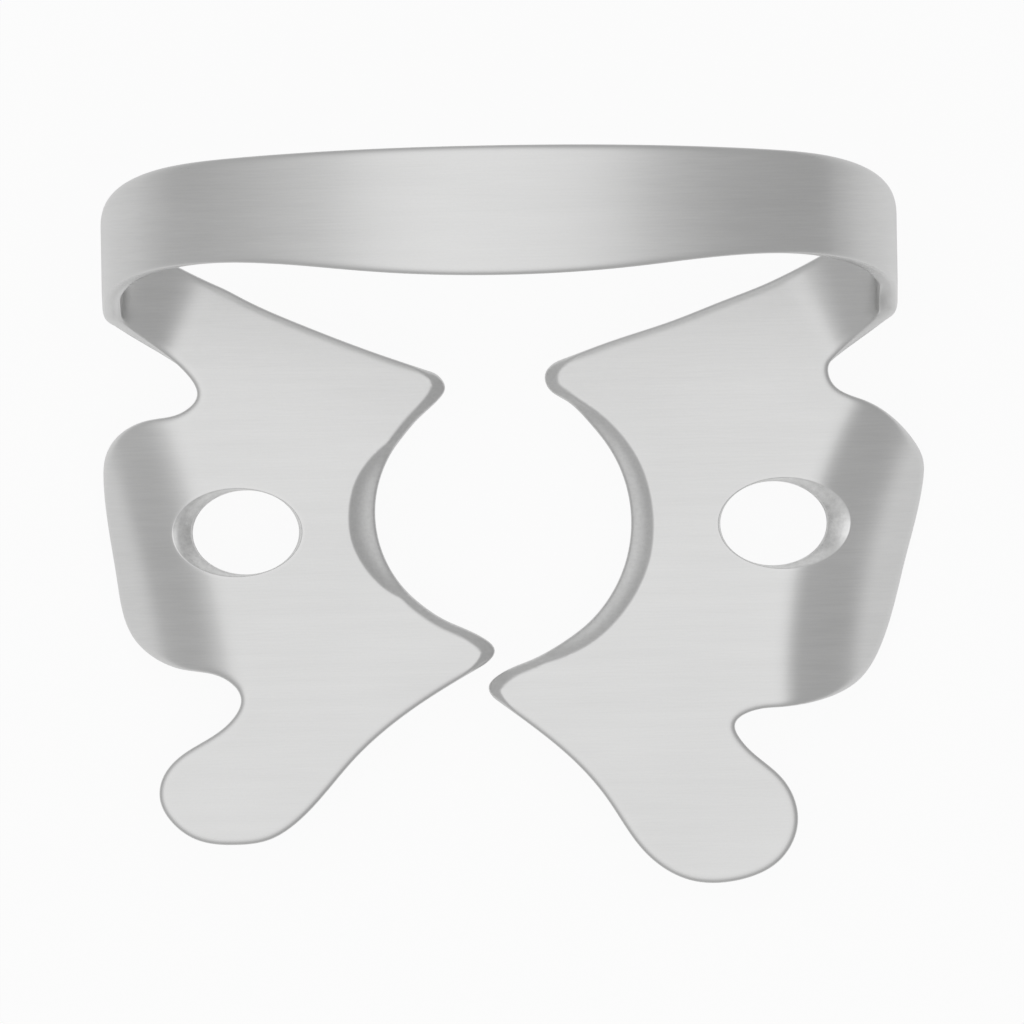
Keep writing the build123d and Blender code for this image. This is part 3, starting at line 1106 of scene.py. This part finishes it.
# %% Build the bending tree
def bending_tree():
    tree = bpy.data.node_groups.new("bend_the_blank", "GeometryNodeTree")
    tree.interface.new_socket("Geometry", in_out="INPUT", socket_type="NodeSocketGeometry")
    tree.interface.new_socket("Geometry", in_out="OUTPUT", socket_type="NodeSocketGeometry")
    names = [
        "Hand", "Sheet thickness", "Half width", "Roll radius", "Roll taper",
        "Curl knee", "Curl wide share", "Curl tight share", "Side foot", "Side radius",
        "Side turn", "Top radius", "Fold X", "Fold Y", "Outward X", "Outward Y", "Fold length",
        "Tight radius", "Gentle radius", "Tight angle", "Fold angle", "Front margin", "Rear margin", "Fade",
        "Front lead", "Middle lead", "Rear lead",
    ]
    for name in names:
        tree.interface.new_socket(name, in_out="INPUT", socket_type="NodeSocketFloat")
    tree.interface.new_socket("Steel", in_out="INPUT", socket_type="NodeSocketMaterial")
    enter = tree.nodes.new("NodeGroupInput")
    given = {name: Term(tree, enter.outputs[name]) for name in names}
    position = tree.nodes.new("GeometryNodeInputPosition")
    apart = tree.nodes.new("ShaderNodeSeparateXYZ")
    tree.links.new(position.outputs[0], apart.inputs[0])
    x, y, depth = [Term(tree, socket) for socket in apart.outputs]
    mark = tree.nodes.new("GeometryNodeInputNamedAttribute")
    mark.data_type = "FLOAT"
    mark.inputs["Name"].default_value = "strip"
    strip = Term(tree, mark.outputs["Attribute"])
    together = tree.nodes.new("ShaderNodeCombineXYZ")
    jaw_place = folded(given, x, y, depth)
    bow_place = rolled(given, x, y, depth)
    for slot, (jaw, bow) in enumerate(zip(jaw_place, bow_place)):
        place = jaw + (bow - jaw) * strip
        if slot == 0:
            place = place * given["Hand"]
        tree.links.new(place.socket, together.inputs[slot])
    move = tree.nodes.new("GeometryNodeSetPosition")
    realize = tree.nodes.new("GeometryNodeRealizeInstances")
    dress = tree.nodes.new("GeometryNodeSetMaterial")
    leave = tree.nodes.new("NodeGroupOutput")
    tree.links.new(enter.outputs["Geometry"], move.inputs["Geometry"])
    tree.links.new(together.outputs[0], move.inputs["Position"])
    tree.links.new(move.outputs[0], realize.inputs[0])
    tree.links.new(realize.outputs[0], dress.inputs["Geometry"])
    tree.links.new(enter.outputs["Steel"], dress.inputs["Material"])
    tree.links.new(dress.outputs[0], leave.inputs[0])
    print("bending tree:", len(tree.nodes), "nodes")
    return tree


bend_the_blank = bending_tree()

# %% [markdown]
# The steel is satin: brushing has left fine lines that run along the strip and
# across the jaws. Such lines spread a reflection sideways and leave it sharp
# along their own direction, which is what anisotropy means. The lines are also
# modelled as a bump, from noise that is stretched along X. Because the lines
# lie in planes of one Y, the same noise follows the bow round its bends.

# %% Patterns in the steel
streak_scale = (700, 15000, 700)
broad_scale = (160, 2600, 160)
grain_scale = (14000, 14000, 14000)
lump_scale = (5000, 5000, 3000)
cloud_scale = (130, 170, 130)
scratch_scale = (6000, 9000, 6000)


def stretched_noise(tree, places, scale, detail, roughness=0.5):
    stretch = tree.nodes.new("ShaderNodeMapping")
    stretch.inputs["Scale"].default_value = scale
    noise = tree.nodes.new("ShaderNodeTexNoise")
    noise.inputs["Scale"].default_value = 1.0
    noise.inputs["Detail"].default_value = detail
    noise.inputs["Roughness"].default_value = roughness
    tree.links.new(places, stretch.inputs["Vector"])
    tree.links.new(stretch.outputs["Vector"], noise.inputs["Vector"])
    return Term(tree, noise.outputs["Fac"])


def mark(tree, name):
    node = tree.nodes.new("ShaderNodeAttribute")
    node.attribute_name = name
    return Term(tree, node.outputs["Fac"])


def bump(tree, height, distance, strength, normal=None):
    node = tree.nodes.new("ShaderNodeBump")
    node.inputs["Distance"].default_value = distance * MM
    node.inputs["Strength"].default_value = strength
    tree.links.new(height.socket, node.inputs["Height"])
    if normal:
        tree.links.new(normal, node.inputs["Normal"])
    return node.outputs["Normal"]


print("patterns repeat about every", round(1 / streak_scale[1] / MM, 3), "mm across the brushed lines")

# %% [markdown]
# Each pattern changes the tone and the roughness a little. The marks on the
# mesh tell where: brushed lines fade at the rounded edges, the ground bevels
# have short scratches, and the punched wall is lumpy. The hole's wall also
# gets painted light: its burnished band is made brighter, a painted sheen on a
# real band, and the wall further down darker, painted shade over the duller
# torn band. All of it goes into one Principled BSDF, because the clamp is
# one piece of one steel.

# %% Steel
steel_tone = 0.76
steel_warmth = (1.0, 1.0, 0.995)
streak_tone = 0.10
broad_tone = 0.05
cloud_tone = 0.16
grain_tone = 0.03
scratch_tone = 0.16
lump_tone = 0.6
# Painted sheen: the hole's burnished band is made brighter than the steel
burnished_sheen_tone = 0.6
ground_darkening = 0.01
# Painted shade: the hole's wall is made darker further down, over its duller torn band
torn_band_and_shade_darkening = 0.03
steel_roughness = 0.34
streak_roughness = 0.16
cloud_roughness = 0.12
lump_roughness = 0.3
punched_roughness = 0.12
edge_polish = 0.05
roughness_limits = (0.12, 0.8)
broad_height_share = 0.6
# Where the metal was ground or rounded, the brushed lines fade by these shares
ground_fading = 0.7
edge_fading = 0.8
brushing_strength = 0.55
brushing_turn = 0.25
# The height of each bump in millimetres, and its strength
streak_bump = (0.0012, 0.8)
grain_bump = (0.0006, 0.5)
scratch_bump = (0.004, 0.7)
fracture_bump = (0.02, 0.9)


def make_steel():
    material = bpy.data.materials.new("spring_steel")
    material.use_nodes = True
    tree = material.node_tree
    surface = tree.nodes["Principled BSDF"]
    surface.inputs["Metallic"].default_value = 1.0
    surface.inputs["Anisotropic"].default_value = brushing_strength
    surface.inputs["Anisotropic Rotation"].default_value = brushing_turn
    places = tree.nodes.new("ShaderNodeTexCoord").outputs["Object"]
    streaks = stretched_noise(tree, places, streak_scale, 3.0, 0.6)
    broad = stretched_noise(tree, places, broad_scale, 2.0)
    grain = stretched_noise(tree, places, grain_scale, 2.0)
    lumps = stretched_noise(tree, places, lump_scale, 4.0, 0.65)
    clouds = stretched_noise(tree, places, cloud_scale, 2.0)
    scratches = stretched_noise(tree, places, scratch_scale, 3.0, 0.6)
    ground = mark(tree, "ground")
    punched = mark(tree, "punched")
    edge = mark(tree, "edge")
    plain = (punched * -1.0 + 1.0) * (ground * -ground_fading + 1.0) * (edge * -edge_fading + 1.0)
    # Painted sheen, strongest where the mark punched is one half, near the top of the hole's wall
    burnished_sheen = punched * (punched * -1.0 + 1.0)
    lines = (streaks - 0.5) * streak_tone + (broad - 0.5) * broad_tone
    tone = lines * plain + (clouds - 0.5) * cloud_tone + (grain - 0.5) * grain_tone
    # The hole's wall darkens further down: painted shade over the duller torn band
    tone = tone - ground * ground_darkening - punched * torn_band_and_shade_darkening
    tone = tone + (lumps - 0.5) * punched * lump_tone + (scratches - 0.5) * ground * scratch_tone
    # The burnished band's painted sheen is added here
    tone = tone + burnished_sheen * burnished_sheen_tone + steel_tone
    colour = tree.nodes.new("ShaderNodeCombineColor")
    for slot, warmth in enumerate(steel_warmth):
        tree.links.new((tone * warmth).socket, colour.inputs[slot])
    tree.links.new(colour.outputs[0], surface.inputs["Base Color"])
    satin = (streaks - 0.5) * streak_roughness * plain + (clouds - 0.5) * cloud_roughness
    satin = satin + steel_roughness - edge * edge_polish + punched * punched_roughness
    satin = satin + (lumps - 0.5) * punched * lump_roughness
    satin = satin.at_least(roughness_limits[0]).at_most(roughness_limits[1])
    tree.links.new(satin.socket, surface.inputs["Roughness"])
    normal = bump(tree, (streaks + broad * broad_height_share) * plain, *streak_bump)
    normal = bump(tree, grain, *grain_bump, normal)
    normal = bump(tree, scratches * ground, *scratch_bump, normal)
    normal = bump(tree, lumps * punched, *fracture_bump, normal)
    tree.links.new(normal, surface.inputs["Normal"])
    along = tree.nodes.new("ShaderNodeTangent")
    along.direction_type = "UV_MAP"
    along.uv_map = "sheet"
    tree.links.new(along.outputs[0], surface.inputs["Tangent"])
    print("steel:", len(tree.nodes), "nodes")
    return material


steel = make_steel()

# %% [markdown]
# Now the press closes. Each half gets the tree as a modifier, and each size
# goes into the input with its name. The tree works in metres, so lengths are
# turned into metres here, while angles and shares stay as they are. The bent
# shape is then taken out as a plain mesh, and the modifier is removed.


# %% Bend both halves
def set_inputs(modifier, values):
    items = modifier.node_group.interface.items_tree
    sockets = {item.name: item.identifier for item in items if item.in_out == "INPUT"}
    for name, value in values.items():
        modifier[sockets[name]] = value


def bend(side):
    piece = halves[side]
    fold = folds[side]
    modifier = piece.modifiers.new("bend", "NODES")
    modifier.node_group = bend_the_blank
    lengths = {
        "Sheet thickness": sheet_thickness, "Half width": half_width, "Side foot": side_foot,
        "Roll radius": roll_radius(0), "Side radius": side_radius, "Top radius": top_radius,
        "Fold X": fold.start[0], "Fold Y": fold.start[1], "Fold length": fold.length,
        "Tight radius": fold.tight, "Gentle radius": fold.gentle,
        "Front lead": fold.leads[0], "Middle lead": fold.leads[1], "Rear lead": fold.leads[2],
        "Front margin": fold_front_margin, "Rear margin": fold_rear_margin, "Fade": fold_fade,
    }
    values = {name: float(length * MM) for name, length in lengths.items()}
    values.update({
        "Hand": 1.0 if side == "right" else -1.0, "Roll taper": curl_taper, "Curl knee": curl_knee,
        "Curl wide share": curl_wide, "Curl tight share": curl_tight, "Side turn": side_turn,
        "Outward X": float(fold.outward[0]), "Outward Y": float(fold.outward[1]),
        "Tight angle": tight_angle, "Fold angle": fold.angle, "Steel": steel,
    })
    set_inputs(modifier, values)
    bpy.context.view_layer.update()
    ready = piece.evaluated_get(bpy.context.evaluated_depsgraph_get())
    bent = bpy.data.meshes.new_from_object(ready)
    piece.modifiers.remove(modifier)
    piece.data = bent
    print(side, "half bent:", len(bent.vertices), "points")
    return piece


for side in halves:
    bend(side)

# %% [markdown]
# Both halves end at the crown of the bow with the same row of points, so they
# are joined point by point there, and no seam shows. The clamp is then one
# closed body, and its faces are turned to point outwards, because mirroring
# turned one half inside out. It takes the place of the CAD model's clamp.

# %% Join the halves at the crown
crown_slack = 0.004


def join_halves():
    shape = bmesh.new()
    for piece in halves.values():
        shape.from_mesh(piece.data)
    crown = [point for point in shape.verts if abs(point.co.x) < crown_slack * MM]
    for point in crown:
        point.co.x = 0
    bmesh.ops.remove_doubles(shape, verts=crown, dist=crown_slack * MM)
    bmesh.ops.recalc_face_normals(shape, faces=shape.faces)
    open_edges = [edge for edge in shape.edges if not edge.is_manifold]
    print("edges that don't join two faces:", len(open_edges))
    for face in shape.faces:
        face.smooth = True
    mesh = bpy.data.meshes.new("steel_clamp")
    shape.to_mesh(mesh)
    shape.free()
    mesh.materials.append(steel)
    piece = bpy.data.objects.new("steel_clamp", mesh)
    bpy.context.scene.collection.objects.link(piece)
    for half in halves.values():
        bpy.data.objects.remove(half)
    return piece


steel_clamp = join_halves()
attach(steel_clamp, "root")
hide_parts("clamp")
clamp_points = [point.co for point in steel_clamp.data.vertices]
low = Vector([min(place[axis] for place in clamp_points) for axis in range(3)]) / MM
high = Vector([max(place[axis] for place in clamp_points) for axis in range(3)]) / MM
print("clamp from", [round(c, 3) for c in low], "to", [round(c, 3) for c in high])

# %% [markdown]
# The clamp lies on white paper, on its folded wings. Metal mirrors what is
# round it, and the paper brightens every slope that turns down to it. The paper
# glows for the camera and for reflections, so that it comes out white. A small
# share of its real shading is left, so the clamp's soft shadow still shows. Its
# reflection fades with the distance from the clamp, like that of a lit pool.

# %% Floor
floor_tone = 0.9
white_seen = 0.93
white_mirrored = 0.5
pool_inner = 0.012
pool_outer = 0.07
floor_half = 3.0


def make_paper():
    material = bpy.data.materials.new("white_paper")
    material.use_nodes = True
    tree = material.node_tree
    tree.nodes.clear()
    light_path = tree.nodes.new("ShaderNodeLightPath")
    seen = Term(tree, light_path.outputs["Is Camera Ray"]) * white_seen
    distance = tree.nodes.new("ShaderNodeVectorMath")
    distance.operation = "LENGTH"
    tree.links.new(tree.nodes.new("ShaderNodeTexCoord").outputs["Object"], distance.inputs[0])
    past_pool = (Term(tree, distance.outputs["Value"]) - pool_inner) * (1 / (pool_outer - pool_inner))
    mirrored = (past_pool.at_least(0).at_most(1) * -1 + 1) * white_mirrored
    for name in ("Is Glossy Ray", "Is Transmission Ray"):
        seen = seen.use("MAXIMUM", Term(tree, light_path.outputs[name]) * mirrored)
    paper = tree.nodes.new("ShaderNodeBsdfDiffuse")
    paper.inputs["Color"].default_value = (floor_tone, floor_tone, floor_tone, 1)
    white = tree.nodes.new("ShaderNodeEmission")
    white.inputs["Strength"].default_value = 1.0
    mix = tree.nodes.new("ShaderNodeMixShader")
    output = tree.nodes.new("ShaderNodeOutputMaterial")
    tree.links.new(seen.socket, mix.inputs[0])
    tree.links.new(paper.outputs[0], mix.inputs[1])
    tree.links.new(white.outputs[0], mix.inputs[2])
    tree.links.new(mix.outputs[0], output.inputs["Surface"])
    return material


floor_mesh = bpy.data.meshes.new("floor")
floor_height = low.z * MM
signs = ((-1, -1), (1, -1), (1, 1), (-1, 1))
floor_corners = [(x * floor_half, y * floor_half, floor_height) for x, y in signs]
floor_mesh.from_pydata(floor_corners, [], [(0, 1, 2, 3)])
floor_mesh.materials.append(make_paper())
floor = bpy.data.objects.new("floor", floor_mesh)
bpy.context.scene.collection.objects.link(floor)
print("floor at", round(low.z, 2), "mm")

# %% [markdown]
# The room matters as much as the steel. A wide soft glow overhead makes the
# flat jaws bright, and the grey room round it darkens every slope that turns
# away from it. The glow fades from its middle to its edge without a border, so
# the bow gets a soft highlight. The room is a little brighter on the left, and
# one disk lamp high above gives the clamp its shadow.

# %% Light
room_tone = 0.47
glow_tone = 0.33
left_gain = 0.07
glow_centre = unit((-0.09, 0.02, 1))
glow_edge = cos(radians(56))
glow_core = cos(radians(4))
lamp_width = 0.9
lamp_place = (-0.03, 0, 0.8)
lamp_radiance = 0.2


def make_room():
    world = bpy.data.worlds.new("studio")
    world.use_nodes = True
    tree = world.node_tree
    direction = tree.nodes.new("ShaderNodeTexCoord").outputs["Generated"]
    parts = tree.nodes.new("ShaderNodeSeparateXYZ")
    tree.links.new(direction, parts.inputs[0])
    x, y, z = (Term(tree, parts.outputs[name]) for name in "XYZ")
    near = x * glow_centre[0] + y * glow_centre[1] + z * glow_centre[2]
    share = ((near - glow_edge) * (1 / (glow_core - glow_edge))).at_least(0).at_most(1)
    share = share * share * (share * -2 + 3)
    tone = share * glow_tone + (x * -left_gain + 1) * room_tone
    tree.links.new(tone.socket, tree.nodes["Background"].inputs["Color"])
    return world


bpy.context.scene.world = make_room()
lamp_data = bpy.data.lights.new("overhead_lamp", "AREA")
lamp_data.shape = "DISK"
lamp_data.size = lamp_width
lamp_area = pi * lamp_width**2 / 4
lamp_data.energy = lamp_radiance * pi * lamp_area
lamp = bpy.data.objects.new("overhead_lamp", lamp_data)
lamp.location = lamp_place
bpy.context.scene.collection.objects.link(lamp)
print("lamp:", round(lamp_data.energy, 2), "W")

# %% [markdown]
# The camera looks straight down, as the photo does. The photo shows so many
# millimetres for each pixel, and the lens is worked out from that. It also
# shows where the middle of the tooth's place lies, and that the clamp is turned
# by one degree, so the camera is moved and turned to match.

# %% Camera
photo_scale = 0.034 * MM
photo_width = 1024
camera_distance = 1.3
origin_in_photo = (503, 525)
clamp_shift = Vector((0.03, 0.14, 0)) * MM
camera_data = bpy.data.cameras.new("camera")
camera = bpy.data.objects.new("camera", camera_data)
bpy.context.scene.collection.objects.link(camera)
camera_data.lens = camera_data.sensor_width * camera_distance / (photo_scale * photo_width)
photo_roll = radians(-1)
right = Vector((cos(photo_roll), sin(photo_roll), 0))
up = Vector((-sin(photo_roll), cos(photo_roll), 0))
middle_of_photo = photo_width / 2
aim = right * (middle_of_photo - origin_in_photo[0]) * photo_scale
aim += up * (origin_in_photo[1] - middle_of_photo) * photo_scale
aim -= clamp_shift
aim += Vector((0, 0, camera_distance))
camera.matrix_world = Matrix.Translation(aim) @ Matrix.Rotation(photo_roll, 4, "Z")
bpy.context.scene.camera = camera
bpy.context.scene.view_settings.view_transform = "Standard"
print("lens:", round(camera_data.lens), "mm, at", camera_distance, "m")
